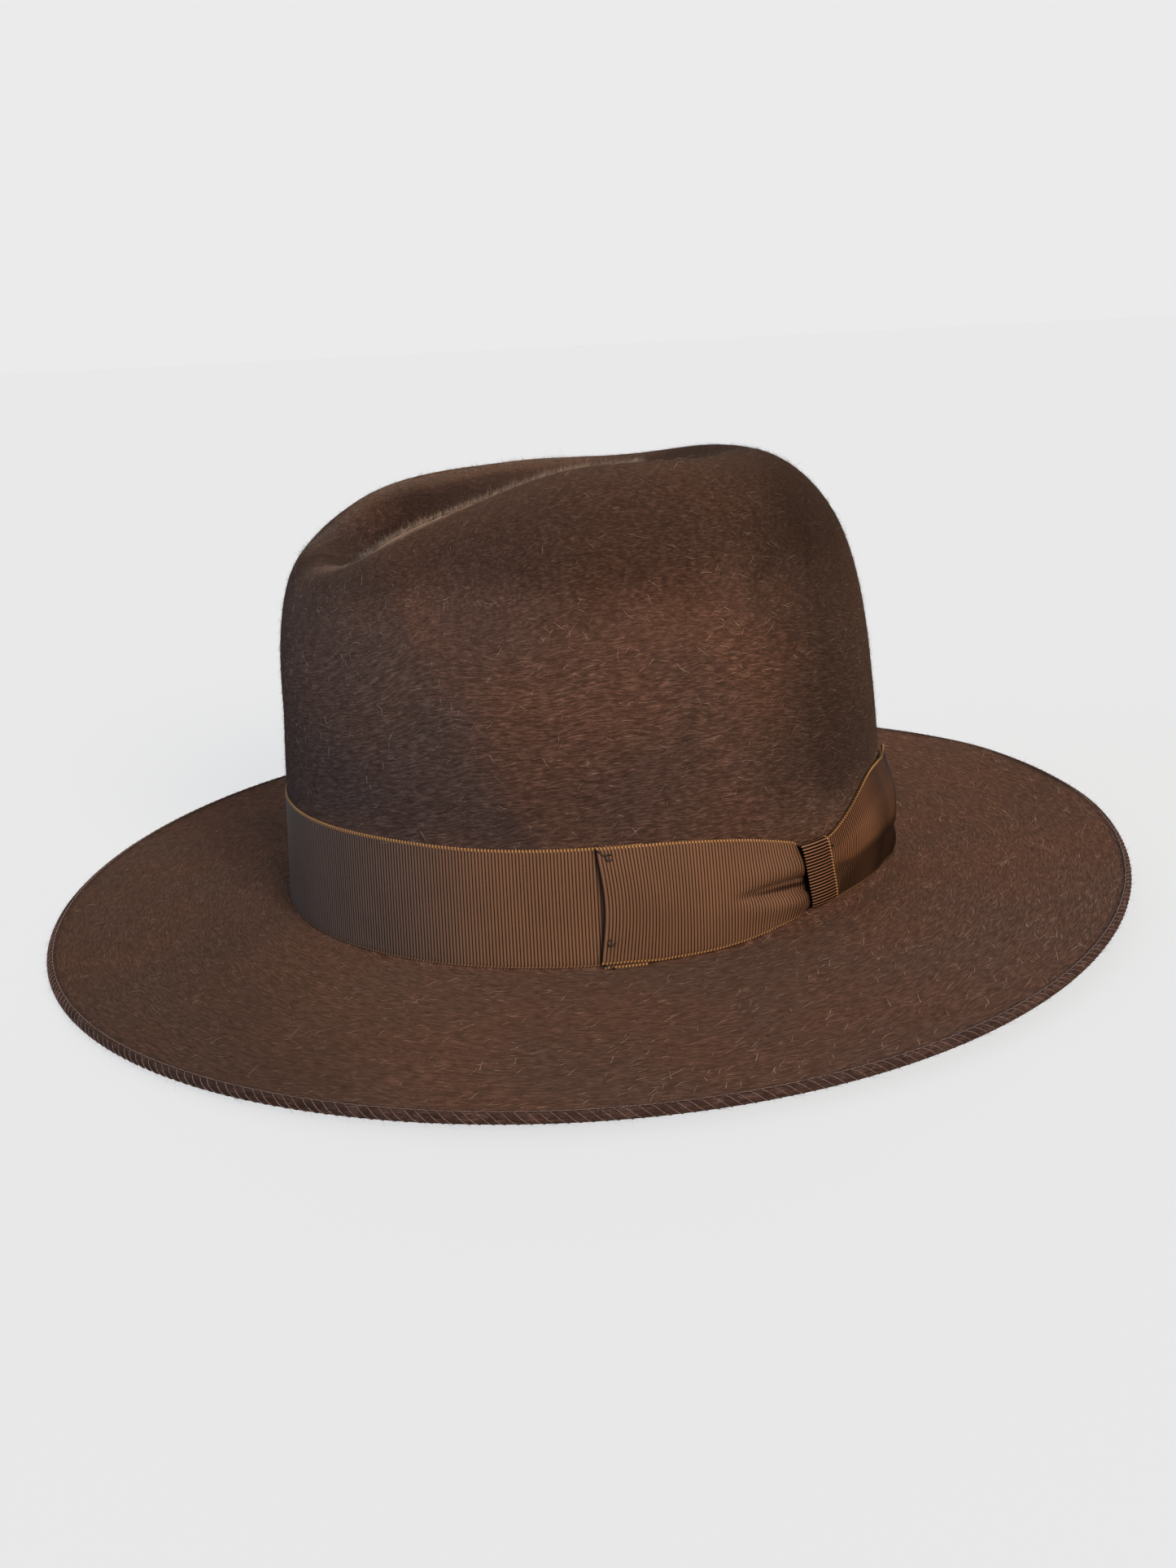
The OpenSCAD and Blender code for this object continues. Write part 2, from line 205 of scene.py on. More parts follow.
def handmade(p):
    """The slow unevenness of felt that was blocked and dented by hand, in and out from the hat's middle."""
    x, y, z = np.moveaxis(p, -1, 0)
    wave = np.sin(x / 13 + 1.0) * np.sin(y / 19 + 2.0) + 0.7 * np.sin((x + y) / 17 + z / 12)
    wave = wave + 0.5 * np.sin(y / 9 - z / 14 + 0.5)
    away = unit(p - np.array([0, 0, 55.0]))
    far = np.hypot(x / FOOT_AX, y / FOOT_AY)
    on_brim = smooth((far - 1.15) / 0.25) * smooth((1.86 - far) / 0.2) * smooth((30 - z) / 10)
    push = away * (0.55 * smooth((z - 52) / 25) * wave)[..., None]
    push[..., 2] += 0.35 * on_brim * wave
    return p + push


def bow_high(a):
    """Height of the bow's upper edge at angle a: it is gathered towards the knot."""
    u = np.clip((a - BOW_FROM - 1) / (KNOT_AT - BOW_FROM - 3), 0, 1.1)
    front = mix(RIBBON_W - 10 * u**2.4, 24.6, smooth((a - 112.0) / 3.2))
    return np.where(a < KNOT_AT, front, 25.4 + 12.8 * smooth((a - KNOT_AT - 2.5) / 22))


def bow_low(a):
    """Height of its lower edge."""
    front = 0.6 + 0.6 * smooth((88 - a) / 8) + 4.8 * np.maximum(0, (a - 92) / 24) ** 2
    front = mix(front, 7.2, smooth((a - 112.5) / 3.2))
    rear = mix(5.2, 1.8, np.clip((a - KNOT_AT - 2) / 39, 0, 1) ** 1.6)
    return np.where(a < KNOT_AT, front, mix(7.2, rear, smooth((a - KNOT_AT - 1) / 3)))


def on_felt(a):
    """1 between the band's two ends, where the bow lies on the felt itself."""
    return smooth((a - BOW_FROM - 8.5) / 4) * smooth((BOW_TO - 9 - a) / 4)


# -------------------- making meshes
def placed(name, data):
    obj = bpy.data.objects.new(name, data)
    bpy.context.scene.collection.objects.link(obj)
    return obj


def piece(name, points, faces, uv, material, replaced=()):
    """A mesh piece that rides on the frame. points are millimetres, uv has one pair for each face corner."""
    mesh = bpy.data.meshes.new(name)
    mesh.from_pydata((points * MM).tolist(), [], faces)
    if uv is not None:
        layer = mesh.uv_layers.new(name="run")
        layer.data.foreach_set("uv", np.asarray(uv, np.float32).ravel())
    mesh.polygons.foreach_set("use_smooth", np.ones(len(mesh.polygons), bool))
    obj = placed(name, mesh)
    mesh.materials.append(material)
    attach(obj, "root")
    if replaced:
        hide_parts(*replaced)
    return obj


def grid_faces(rows, columns, start=0, close_columns=False, close_rows=False):
    """Quads of a grid, and for each their four (row, column) corners before wrapping."""
    i, j = np.meshgrid(np.arange(rows - (not close_rows)), np.arange(columns - (not close_columns)), indexing="ij")
    i, j = i.ravel(), j.ravel()
    corners = np.stack([np.stack([i + down, j + on], -1) for down, on in ((0, 0), (0, 1), (1, 1), (1, 0))], 1)
    index = start + (corners[..., 0] % rows) * columns + corners[..., 1] % columns
    return index, corners


def hoop(name, rings, material, replaced=(), closed_section=True, poles=None, period=1.0):
    """rings[k, i] goes round the hat with i. The section closes on itself, or ends in two poles."""
    rows, columns = rings.shape[:2]
    faces, corners = grid_faces(rows, columns, 0, True, closed_section)
    across = lengths(rings[:, 0])
    across = np.append(across, across[-1] + np.linalg.norm(rings[0, 0] - rings[-1, 0]))
    uv = np.stack([corners[..., 1] / columns * period, across[corners[..., 0]]], -1)
    points, faces, uv = rings.reshape(-1, 3), faces.tolist(), uv.reshape(-1, 2)
    if poles is not None:
        n, last = len(points), (rows - 1) * columns
        points = np.vstack([points, poles])
        faces += [[n, (k + 1) % columns, k] for k in range(columns)]
        faces += [[last + k, last + (k + 1) % columns, n + 1] for k in range(columns)]
        k = np.arange(columns)[:, None]
        for corner, at in (((0.5, 1.0, 0.0), 0.0), ((0.0, 0.0, 0.0), across[-2])):
            run = (k + corner) / columns * period
            uv = np.vstack([uv, np.stack([run, at + 0 * run], -1).reshape(-1, 2)])
    return piece(name, points, faces, uv, material, replaced)


def normals_of(grid):
    """Unit normals of a grid of points [m, k], from its neighbours."""
    return unit(np.cross(np.gradient(grid, axis=0), np.gradient(grid, axis=1)))


def normals_round(grid):
    """The same for a grid whose rows close on themselves."""
    return normals_of(np.concatenate([grid[-1:], grid, grid[:1]]))[1:-1]


def slab(middle, normal, front, back):
    """The outline of a sheet's section at each row: its front face, then its back face."""
    return np.concatenate([middle + normal * front, (middle - normal * back)[:, ::-1]], 1)


def ribbon(name, middle, across, material, replaced, closed=False, edges=(True, True), thick=RIBBON_T, ribs=0.1):
    """Grosgrain along middle[m, k], the middle of the ribbon's thickness; across has the k places across it.

    Ribs run across the ribbon. Each selvedge is a narrow braid, a little thicker, that the ribs scallop.
    """
    m, k = middle.shape[:2]
    along = lengths(middle[:, k // 2])
    if closed:
        lap = np.linalg.norm(middle[0, k // 2] - middle[-1, k // 2])
        along = along * round((along[-1] + lap) / RIB) * RIB / (along[-1] + lap)
    reach = across[-1]
    phase = 2 * np.pi * along / RIB
    crest = np.abs(np.sin(phase / 2)) ** 0.7
    edge, groove = np.zeros(k), np.zeros(k)
    for on, d in ((edges[0], across), (edges[1], reach - across)):
        if on:
            edge = np.maximum(edge, smooth((SELVEDGE - d) / 0.15))
            groove = np.maximum(groove, bump(d, SELVEDGE + 0.12, 0.14))
    normal = normals_round(middle) if closed else normals_of(middle)
    braid = 0.5 + 0.5 * np.cos(phase)[:, None] * np.cos(np.pi * across / SELVEDGE)
    relief = ribs * crest[:, None] * (1 - edge) * (1 - 0.6 * groove)
    relief = relief + edge * (0.05 + 0.11 * braid) - 0.05 * groove
    side = unit(np.gradient(middle, axis=1))
    scallop = 0.07 * np.cos(phase)[:, None] * ((across == reach) * 1.0 - (across == 0) * 1.0)
    middle = middle + side * scallop[..., None]
    section = slab(middle, normal, (thick / 2 + relief)[..., None], thick / 2)
    faces, corners = (grid[:, ::-1] for grid in grid_faces(m, 2 * k, 0, True, closed))
    v = np.concatenate([across, across[::-1], across[:1]])
    step = along[-1] / (m - 1)
    uv = np.stack([corners[..., 0] * step, v[corners[..., 1]]], -1).reshape(-1, 2)
    faces = faces.tolist()
    if not closed:
        for row, order in ((0, 1), (m - 1, -1)):
            for j in range(k - 1):
                quad = [row * 2 * k + j, row * 2 * k + j + 1, row * 2 * k + 2 * k - 2 - j, row * 2 * k + 2 * k - 1 - j]
                faces.append(quad[::order])
        uv = np.vstack([uv, np.zeros((8 * (k - 1), 2))])
    return piece(name, section.reshape(-1, 3), faces, uv, material, replaced)


def ribbon_rows(width, rows, left=True, right=True):
    """Positions across a ribbon, close together at its selvedges."""
    fine, plain = np.array([0, 0.18, 0.38, 0.58, 0.75, 0.95]), np.array([0.0, 0.3])
    first, last = fine if left else plain, width - (fine if right else plain)[::-1]
    return np.concatenate([first, np.linspace(first[-1], last[0], rows + 2)[1:-1], last])


def tube(paths, radius, sides=6):
    """Points and faces of a closed tube along each path [n, points, 3]."""
    paths = np.asarray(paths, float)
    n, m = paths.shape[:2]
    ahead = unit(np.gradient(paths, axis=1))
    u = unit(np.cross(ahead, np.where(np.abs(ahead[..., 2:]) < 0.85, [[0, 0, 1.0]], [[1.0, 0, 0]])))
    w = np.cross(ahead, u)
    turn = np.arange(sides) * 2 * np.pi / sides
    ring = u[:, :, None] * np.cos(turn)[:, None] + w[:, :, None] * np.sin(turn)[:, None]
    points = paths[:, :, None] + ring * radius
    quads, _ = grid_faces(m, sides, 0, True, False)
    caps = [np.arange(sides), np.arange(sides)[::-1] + (m - 1) * sides]
    faces = []
    for base in np.arange(n) * m * sides:
        faces += (quads[:, ::-1] + base).tolist() + [(cap + base).tolist() for cap in caps]
    return points.reshape(-1, 3), faces


def threads(name, groups, radius, material, replaced):
    points, faces = np.zeros((0, 3)), []
    for group in groups:
        p, f = tube(group, radius)
        faces += [[v + len(points) for v in face] for face in f]
        points = np.vstack([points, p])
    return piece(name, points, faces, None, material, replaced)


# -------------------- materials
class Nodes:
    """A node material, with short calls for the nodes that the hat's materials share."""

    def __init__(self, name, rough=0.8, **inputs):
        self.material = bpy.data.materials.new(name)
        self.material.use_nodes = True
        self.tree = self.material.node_tree
        self.shader = self.tree.nodes["Principled BSDF"]
        self.set(self.shader, Roughness=rough, **inputs)

    def join(self, node, values):
        """Link each value that is another node's output, and set each plain one."""
        for key, value in values.items():
            if isinstance(value, bpy.types.NodeSocket):
                self.tree.links.new(value, node.inputs[key])
            else:
                node.inputs[key].default_value = value

    def set(self, node, **inputs):
        self.join(node, {key.replace("_", " "): value for key, value in inputs.items()})
        return node

    def new(self, kind, settings=None, **inputs):
        node = self.tree.nodes.new("ShaderNode" + kind)
        for key, value in (settings or {}).items():
            setattr(node, key, value)
        return self.set(node, **inputs)

    def math(self, operation, *values):
        node = self.new("Math", {"operation": operation})
        self.join(node, dict(enumerate(values)))
        return node.outputs[0]

    def plus(self, a, b):
        return self.math("ADD", a, b)

    def minus(self, a, b):
        return self.math("SUBTRACT", a, b)

    def times(self, a, b):
        return self.math("MULTIPLY", a, b)

    def span(self, value, start, full, low=0.0, high=1.0, kind="LINEAR"):
        """low where value is at start, high where it is at full, and between them in between."""
        return self.new("MapRange", {"interpolation_type": kind}, Value=value, From_Min=start, From_Max=full,
                        To_Min=low, To_Max=high).outputs[0]

    def step(self, value, start, full):
        return self.span(value, start, full, kind="SMOOTHSTEP")

    def off(self, value, middle=0.0):
        return self.math("ABSOLUTE", self.minus(value, middle) if middle else value)

    def parts(self, vector):
        xyz = self.new("SeparateXYZ", Vector=vector)
        return xyz.outputs[0], xyz.outputs[1], xyz.outputs[2]

    def tinted(self, colour, amount, tint):
        return self.blend(amount, colour, self.blend(1.0, colour, tint, "MULTIPLY"))

    def noise(self, vector, scale, detail=4.0, roughness=0.55):
        node = self.new("TexNoise", Vector=vector, Scale=scale, Detail=detail, Roughness=roughness)
        return node.outputs["Fac"]

    def scaled(self, vector, scale):
        return self.new("Mapping", Vector=vector, Scale=scale).outputs[0]

    def ramp(self, fac, *stops):
        node = self.new("ValToRGB", Fac=fac)
        elements = node.color_ramp.elements
        while len(elements) < len(stops):
            elements.new(0.5)
        for element, (at, colour) in zip(elements, stops):
            element.position = at
            element.color = (*colour, 1)
        return node.outputs[0]

    def blend(self, fac, a, b, mode="MIX"):
        node = self.new("Mix", {"data_type": "RGBA", "blend_type": mode})
        a, b = ((*v, 1) if isinstance(v, tuple) else v for v in (a, b))
        self.join(node, {0: fac, 6: a, 7: b})  # the sockets of a colour mix
        return node.outputs[2]

    def relief(self, height, distance, strength=1.0, under=None):
        more = {} if under is None else {"Normal": under}
        return self.new("Bump", Height=height, Distance=distance, Strength=strength, **more).outputs[0]

    def run(self):
        """Distance along and across a piece, in millimetres, from its own UV map."""
        return self.new("UVMap", {"uv_map": "run"}).outputs[0]

    def place(self):
        return self.new("TexCoord").outputs["Object"]

    def done(self, colour, normal=None, **inputs):
        more = {} if normal is None else {"Normal": normal}
        self.set(self.shader, Base_Color=colour, **inputs, **more)
        return self.material


def strands(m, place):
    """Clumps of nap, long the way round the hat and narrow the other way."""
    x, y, z = m.parts(place)
    far = m.math("SQRT", m.plus(m.times(x, x), m.times(y, y)))
    sway = m.times(m.noise(place, 60, 2.0), 0.004)
    rise = m.plus(m.plus(far, z), sway)
    lines = m.new("CombineXYZ", X=m.times(x, 260.0), Y=m.times(y, 260.0), Z=m.times(rise, 2300.0)).outputs[0]
    round_it = m.noise(lines, 1.0, 4.0, 0.6)
    over_it = m.noise(m.scaled(place, (1500, 520, 1500)), 1.0, 2.0, 0.5)
    over_it = m.plus(m.times(over_it, 0.6), 0.2)
    top = m.step(z, 0.088, 0.112)
    return m.plus(m.times(round_it, m.minus(1.0, top)), m.times(over_it, top))


def patches_and_painted_light(m, place, colour):
    """Patches of the felt's own tone, painted shade over the crown, crease, brim, rim and above the band, and a painted
    ridge highlight.
    """
    x, y, z = m.parts(place)
    patchy = m.times(m.minus(m.noise(place, 34, 3.0), 0.5), 0.03)

    def within(value, start, full):
        return m.step(m.plus(value, patchy), start, full)

    clouds = m.span(m.noise(place, 24, 3.0, 0.5), 0.40, 0.60)
    colour = m.blend(clouds, m.blend(1.0, colour, (0.93, 0.97, 1.02), "MULTIPLY"),
                     m.blend(1.0, colour, (1.05, 1.00, 0.97), "MULTIPLY"))
    ahead = m.times(y, -1.0)
    slope = m.minus(ahead, m.times(z, 0.4))
    on_top = within(z, 0.100, 0.122)
    on_brim = m.minus(1.0, within(z, 0.030, 0.040))
    above_band = m.minus(within(z, 0.030, 0.040), within(z, 0.050, 0.085))
    edge = m.plus(m.math("POWER", m.math("DIVIDE", x, (FOOT_AX + BRIM_SIDE) * MM), 2.0),
                  m.math("POWER", m.math("DIVIDE", y, (FOOT_AY + BRIM_END) * MM), 2.0))
    in_crease = m.minus(1.0, within(off_middle(m, x, y), 0.026, 0.036))
    # Painted shade on the crown's front, back and shoulders, in the crease, on the brim's left, at the rim and above
    # the band; the brim a little darker and warmer; a painted highlight along the near ridge
    for amount, tint in (
            (m.times(within(slope, 0.016, 0.031), within(z, 0.03, 0.05)), (0.72, 0.85, 1.0)),  # the crown's front
            (m.times(within(y, 0.020, 0.056), within(z, 0.036, 0.05)), (0.48, 0.49, 0.50)),  # the crown's back
            (m.times(within(ahead, 0.070, 0.130), on_brim), (0.60, 0.62, 0.66)),
            (on_brim, (0.93, 0.89, 0.86)),
            (above_band, (0.80, 0.84, 0.90)),
            (m.span(edge, 0.960, 0.972), (0.62, 0.68, 0.80)),  # the rim
            (on_top, (0.60, 0.58, 0.56)),
            (m.times(on_top, in_crease), (0.52, 0.54, 0.58)),
            (ridge_highlight(m, place), (2.1, 2.3, 2.4))):
        colour = m.tinted(colour, amount, tint)
    return colour


def off_middle(m, x, y):
    """Distance from the middle of the crease, which is the same all along the ridge beside it."""
    return m.plus(m.off(x), m.times(m.times(y, y), RIDGE_BOW / MM))


def ridge_highlight(m, place):
    """Mask of a painted pale highlight along the ridges beside the crease, full on the bow's side and faint on the
    other; it also raises the felt's sheen there.
    """
    x, y, z = m.parts(place)
    off_ridge = m.off(off_middle(m, x, y), 0.0395)
    amount = m.span(x, -0.01, 0.01, 0.2)
    for value, start, full in ((off_ridge, 0.0066, 0.0010), (y, 0.035, 0.0), (z, 0.112, 0.124)):
        amount = m.times(amount, m.step(value, start, full))
    return amount


def felt_material():
    m = Nodes("fur_felt", 0.95, Specular_IOR_Level=0.0, Sheen_Roughness=0.6, Sheen_Tint=(0.9, 0.62, 0.45, 1))
    place = m.place()
    # Brushed streaks follow the way round the hat, bent by a slow noise so that they swirl
    swirl = m.new("TexNoise", Vector=m.scaled(place, (28, 28, 40)), Scale=1.0, Detail=2.0).outputs["Color"]
    node = m.new("VectorMath", {"operation": "MULTIPLY_ADD"})
    m.join(node, {0: swirl, 1: (5.0, 5.0, 0), 2: m.run()})
    bent = node.outputs[0]
    streaks = m.noise(m.scaled(bent, (0.26, 2.3, 1)), 1.0, 5.0, 0.65)
    fibres = m.noise(m.scaled(bent, (0.5, 6.5, 1)), 1.0, 3.0, 0.6)
    clumps = m.noise(place, 420, 4.0, 0.6)
    tone = m.plus(m.times(streaks, 0.22), m.times(fibres, 0.28))
    tone = m.plus(m.plus(tone, m.times(strands(m, place), 0.38)), m.times(clumps, 0.12))
    colour = m.ramp(tone, (0.36, (0.010, 0.0052, 0.0040)), (0.5, (0.0350, 0.0176, 0.0124)),
                    (0.65, (0.100, 0.053, 0.038)))
    height = m.plus(m.times(streaks, 0.6), m.times(fibres, 0.5))
    pale = m.plus(m.times(ridge_highlight(m, place), 0.16), 0.03)
    return m.done(patches_and_painted_light(m, place, colour), m.relief(height, 0.0008, 0.6), Sheen_Weight=pale)


def fur_material(name, dark, light):
    m = Nodes(name, 0.7, Specular_IOR_Level=0.08)
    place = m.place()
    tone = m.plus(m.times(strands(m, place), 0.72), m.times(m.noise(place, 700, 3.0), 0.28))
    colour = m.ramp(tone, (0.31, dark), (0.68, light))
    return m.done(patches_and_painted_light(m, place, colour))


def grosgrain_material(name="grosgrain", body=(0.060, 0.0300, 0.0178), reach=RIBBON_W, edges=(True, True), pale=1.5,
                       groove_shade=0.12, part=None):
    m = Nodes(name, 0.6, Specular_IOR_Level=0.04, Specular_Tint=(1.0, 0.72, 0.5, 1))
    along, across, _ = m.parts(m.run())
    crest = m.off(m.math("SINE", m.times(along, math.pi / RIB)))
    # Warp threads, fine lines along the ribbon that pass over each rib
    warp = m.math("SINE", m.times(across, 2 * math.pi / 0.3))
    wear = m.noise(m.place(), 60, 4.0)
    # Painted highlight on each rib's crest and painted shade in the groove between ribs, over the ribs' real relief
    colour = m.ramp(crest, (groove_shade, tuple(0.04 * c for c in body)), (groove_shade + 0.4, tuple(0.8 * c for c in body)),
                    (1.0, tuple(pale * c for c in body)))
    colour = m.blend(0.5, colour, m.ramp(wear, (0.3, (0.75, 0.75, 0.78)), (0.7, (1.2, 1.16, 1.1))), "MULTIPLY")
    # Painted shade: the band colder and darker towards the front, and the bow's rear loop warmer and darker
    at = m.parts(m.place())[1]
    colour = m.tinted(colour, m.step(at, -0.045, -0.085), (0.66, 0.80, 1.05))
    colour = m.tinted(colour, m.step(at, 0.030, 0.062), (0.62, 0.55, 0.50))
    # Folds and the grooves between ribs hold shade
    open_sky = m.new("AmbientOcclusion", {"samples": 8}, Distance=0.005).outputs["AO"]
    shade = m.ramp(open_sky, (0.30, (0.10, 0.10, 0.10)), (0.62, (0.75, 0.75, 0.75)), (0.85, (1, 1, 1)))
    colour = m.blend(1.0, colour, shade, "MULTIPLY")
    gold = m.ramp(m.math("SINE", m.times(along, 2 * math.pi / RIB)), (0.0, (0.045, 0.021, 0.009)),
                  (1.0, (0.215, 0.113, 0.047)))
    near = None
    for on, d in ((edges[0], across), (edges[1], m.minus(reach, across))):
        if on:
            this = m.math("LESS_THAN", d, SELVEDGE)
            near = this if near is None else m.math("MAXIMUM", near, this)
    if near is not None:
        colour = m.blend(near, colour, gold)
    if part == "front loop":
        # Painted shade along the crease, wider and darker towards the knot, and a painted shadow beside the knot
        open_by = m.plus(m.times(m.math("MAXIMUM", m.minus(at, 0.014), 0.0), 48.0), 0.5)
        off_crease = m.math("DIVIDE", m.off(across, 20.3), open_by)
        colour = m.tinted(colour, m.times(m.step(at, 0.016, 0.036), m.step(off_crease, 1.1, 0.2)), (0.22, 0.22, 0.25))
        colour = m.tinted(colour, m.step(at, 0.034, 0.047), (0.70, 0.67, 0.65))
    if part == "rear loop":
        # Painted highlight on its lobe; painted shade on its lower part and on its fold
        colour = m.tinted(colour, m.times(m.step(at, 0.050, 0.060), m.step(across, 19.0, 23.0)), (0.46, 0.47, 0.50))
        colour = m.tinted(colour, m.times(m.step(across, 6.0, 12.0), m.step(across, 22.0, 18.0)), (1.45, 1.45, 1.40))
        turned = m.times(m.step(at, 0.068, 0.084), m.math("GREATER_THAN", across, SELVEDGE))
        colour = m.tinted(colour, turned, (0.50, 0.50, 0.52))
    height = m.plus(m.times(crest, 0.3), m.times(warp, 0.12))
    return m.done(colour, m.relief(height, 0.00012, 0.6))


def thread_material(name, dark, light):
    m = Nodes(name, 0.6, Specular_IOR_Level=0.2)
    ply = m.noise(m.place(), 2600, 2.0)
    return m.done(m.ramp(ply, (0.35, dark), (0.65, light)), m.relief(ply, 0.0001, 0.5))


def leather_material():
    m = Nodes("sweatband_leather", 0.45, Specular_IOR_Level=0.45, Coat_Weight=0.08, Coat_Roughness=0.3)
    place = m.place()
    cells = m.new("TexVoronoi", {"feature": "DISTANCE_TO_EDGE"}, Vector=place, Scale=900.0).outputs["Distance"]
    creases = m.noise(m.scaled(place, (1, 1, 3)), 70, 6.0, 0.6)
    spots = m.noise(place, 260, 3.0)
    colour = m.ramp(creases, (0.32, (0.115, 0.048, 0.020)), (0.55, (0.205, 0.092, 0.040)),
                    (0.75, (0.285, 0.140, 0.068)))
    colour = m.blend(0.35, colour, m.ramp(spots, (0.35, (0.6, 0.6, 0.6)), (0.65, (1.2, 1.2, 1.2))), "MULTIPLY")
    grain = m.relief(cells, 0.00025, 0.5)
    return m.done(colour, m.relief(creases, 0.0006, 0.4, grain), Roughness=m.span(creases, 0, 1, 0.36, 0.6))


def satin_material():
    m = Nodes("lining_satin", 0.32, Specular_IOR_Level=0.5, Sheen_Weight=0.15, Anisotropic=0.5)
    place = m.place()
    weave = m.noise(m.scaled(m.run(), (0.8, 9, 1)), 1.0, 3.0)
    folds = m.noise(m.scaled(place, (1, 1, 0.25)), 55, 4.0)
    colour = m.ramp(folds, (0.35, (0.115, 0.083, 0.056)), (0.65, (0.215, 0.165, 0.115)))
    return m.done(colour, m.relief(weave, 0.0001, 0.3, m.relief(folds, 0.0006, 0.35)))


def plastic_material():
    m = Nodes("reed_plastic", 0.35, Specular_IOR_Level=0.5)
    haze = m.noise(m.place(), 240, 4.0)
    return m.done(m.ramp(haze, (0.3, (0.016, 0.013, 0.011)), (0.7, (0.03, 0.025, 0.021))),
                  Roughness=m.span(haze, 0, 1, 0.28, 0.5))


def tape_material():
    m = Nodes("woven_tape", 0.85, Sheen_Weight=0.2)
    run = m.run()
    weave = m.new("TexBrick", {"offset": 0.5}, Vector=m.scaled(run, (1.1, 1.6, 1)), Scale=1.0, Mortar_Size=0.08,
                  Brick_Width=0.9, Row_Height=0.5, Color1=(0.075, 0.05, 0.036, 1), Color2=(0.052, 0.033, 0.024, 1),
                  Mortar=(0.02, 0.013, 0.01, 1))
    return m.done(weave.outputs["Color"], m.relief(weave.outputs["Fac"], 0.0001, -0.6))


FELT = felt_material()
RIBBON = grosgrain_material()
# Copies of the grosgrain: the knot's with a darker body, stronger painted highlights on its ribs and painted shade
# between them; the loops' with their own painted shade and highlights
KNOT_RIBBON = grosgrain_material("grosgrain_knot", (0.050, 0.0245, 0.0142), KNOT_W, (False, True), 3.7, 0.5)
FRONT_RIBBON = grosgrain_material("grosgrain_front_loop", part="front loop")
REAR_RIBBON = grosgrain_material("grosgrain_rear_loop", part="rear loop")
SMALL_RIBBON = grosgrain_material("grosgrain_small", reach=SMALL_W)
EDGE_THREAD = thread_material("edge_thread", (0.022, 0.011, 0.009), (0.085, 0.047, 0.038))
DARK_THREAD = thread_material("dark_thread", (0.003, 0.002, 0.002), (0.014, 0.009, 0.008))
LEATHER, SATIN = leather_material(), satin_material()

# -------------------- felt
AROUND = 480
turns = 180 + np.arange(AROUND) * 360 / AROUND
over_out = np.concatenate([np.linspace(89.2, 30, 56), np.linspace(29, 2, 26)])[:, None]
over_in = np.linspace(2, 88.5, 36)[:, None]
brim_out = np.linspace(0, 1, 40)[:, None] ** 1.05
brim_in = np.linspace(1, 0, 18)[:, None]
rim_turns = np.linspace(80, -80, 9)[:, None]
bends = np.array([0.85, 0.6, 0.35, 0.15])[:, None, None]
outside = np.concatenate([crown(turns, over_out), bend(turns, bends, 0, 0), brim(turns, brim_out),
                          rim(turns, rim_turns, RIM_R)])
inside = np.concatenate([brim(turns, brim_in, FELT_T), bend(turns, bends[::-1], FELT_T, FELT_T),
                         crown(turns, over_in, FELT_T)])
felt_rings = handmade(np.concatenate([outside, inside]))
felt_poles = handmade(np.stack([crown(0.0, 90.0), crown(0.0, 90.0, FELT_T)]))
hoop("felt_crown_and_brim", felt_rings[:, ::-1], FELT, ["felt_body"], False, felt_poles, period=700.0)


# -------------------- nap
def roots_on(rings, count, keep=None):
    """Random places on a grid of rings: point, normal, way round and way across."""
    rings = np.concatenate([rings, rings[:, :1]], 1)
    a, b, c, d = rings[:-1, :-1], rings[:-1, 1:], rings[1:, 1:], rings[1:, :-1]
    area = np.linalg.norm(np.cross(c - a, d - b), axis=-1) / 2
    weight = area if keep is None else area * keep(rings[:-1, :-1])
    at = rng.choice(weight.size, count, p=weight.ravel() / weight.sum())
    i, j = np.unravel_index(at, area.shape)
    u, v = rng.random((2, count, 1))
    low, high = mix(a[i, j], b[i, j], u), mix(d[i, j], c[i, j], u)
    p = mix(low, high, v)
    way = unit(b[i, j] - a[i, j])
    normal = unit(np.cross(high - low, way))
    return p, normal, way, np.cross(way, normal)


def fur(name, roots, length, thick, lift, spread, material, curl=0.0):
    """Hairs as slim closed spikes: straight with 4 faces, or with a curl and 10. lift and spread are degrees."""
    p, normal, way, down = roots
    n = len(p)
    heading = np.radians(rng.normal(0, spread, (n, 1))) + 0.35 * np.sin(p[:, :1] / 37 + p[:, 2:] / 23)
    rise = np.radians(np.abs(rng.normal(lift, lift * 0.6, (n, 1))))
    flat = way * np.cos(heading) + down * np.sin(heading)
    ahead = flat * np.cos(rise) + normal * np.sin(rise)
    size = length * np.exp(rng.normal(0, 0.32, (n, 1)))
    side = unit(np.cross(ahead, normal))
    up = np.cross(side, ahead)
    corners = [np.cos(t) * side + np.sin(t) * up for t in (0.5, 0.5 + 2 * np.pi / 3, 0.5 + 4 * np.pi / 3)]
    rings = [[p - normal * 0.12 + thick * c for c in corners]]
    if curl:
        bow = side * rng.normal(0, curl, (n, 1)) * size + up * (rng.random((n, 1)) * 0.6 - 0.25) * curl * size
        rings.append([p + ahead * size * 0.5 + bow + 0.8 * thick * c for c in corners])
    points = np.stack([v for ring in rings for v in ring] + [p + ahead * size], 1)
    points[..., 2] = np.maximum(points[..., 2], 0.02)  # hairs under the rim lie on the surface that it rests on
    k = points.shape[1]
    faces = [[2, 1, 0]]
    for r in range(len(rings)):
        for s in range(3):
            q, t = 3 * r + s, 3 * r + (s + 1) % 3
            faces += [[q, t, k - 1]] if r == len(rings) - 1 else [[q, t, t + 3], [q, t + 3, q + 3]]
    faces = (np.array(faces)[None] + (np.arange(n) * k)[:, None, None]).reshape(-1, 3)
    return piece(name, points.reshape(-1, 3), faces.tolist(), None, material)


